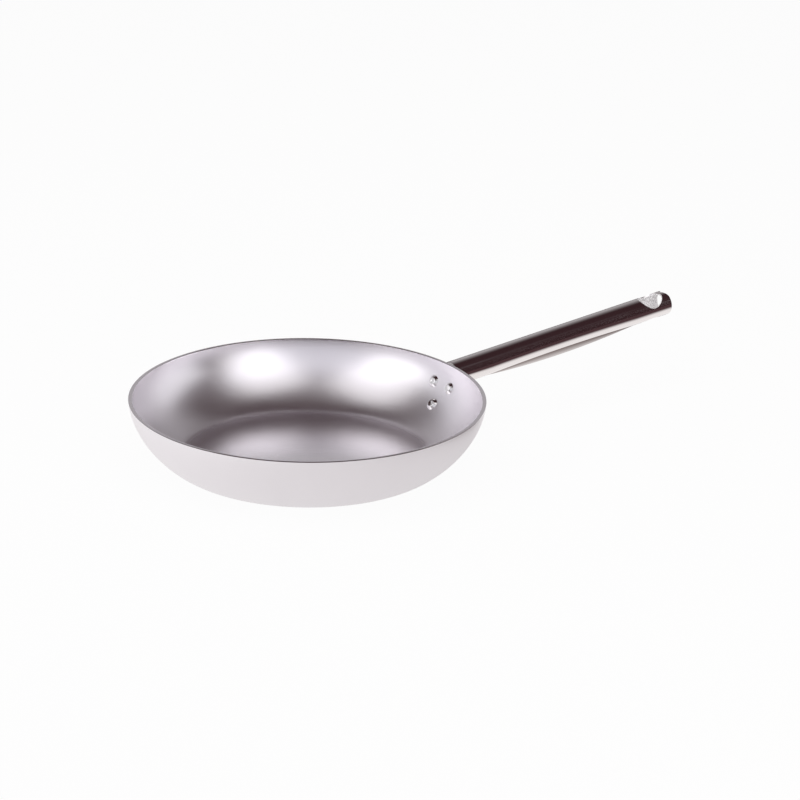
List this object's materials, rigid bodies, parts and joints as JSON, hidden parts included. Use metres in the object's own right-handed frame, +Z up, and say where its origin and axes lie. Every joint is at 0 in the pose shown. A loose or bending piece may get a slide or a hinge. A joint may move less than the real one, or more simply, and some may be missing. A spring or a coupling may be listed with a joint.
{
  "type": "frying_pan",
  "caption": "Catering frying pan: thick satin aluminium body with curved walls and a riveted tubular steel handle",
  "frame": {"origin": "centre of the flat underside of the pan, on the surface that it stands on", "axes": "+X from the pan's centre along the handle, +Z up, +Y to the left of the handle as seen from the pan's centre looking along it"},
  "size_m": [0.508, 0.28, 0.0715],
  "materials": {
    "satin_aluminium": "satin, fine blasted grain",
    "polished_steel": "polished, with fine lengthwise lines",
    "rivet_metal": "bright, lightly worn"
  },
  "bodies": {
    "root": {"pan_body": "satin_aluminium", "handle": "polished_steel", "rivet_upper_left": "rivet_metal", "rivet_upper_right": "rivet_metal", "rivet_lower": "rivet_metal"}
  },
  "joints": []
}
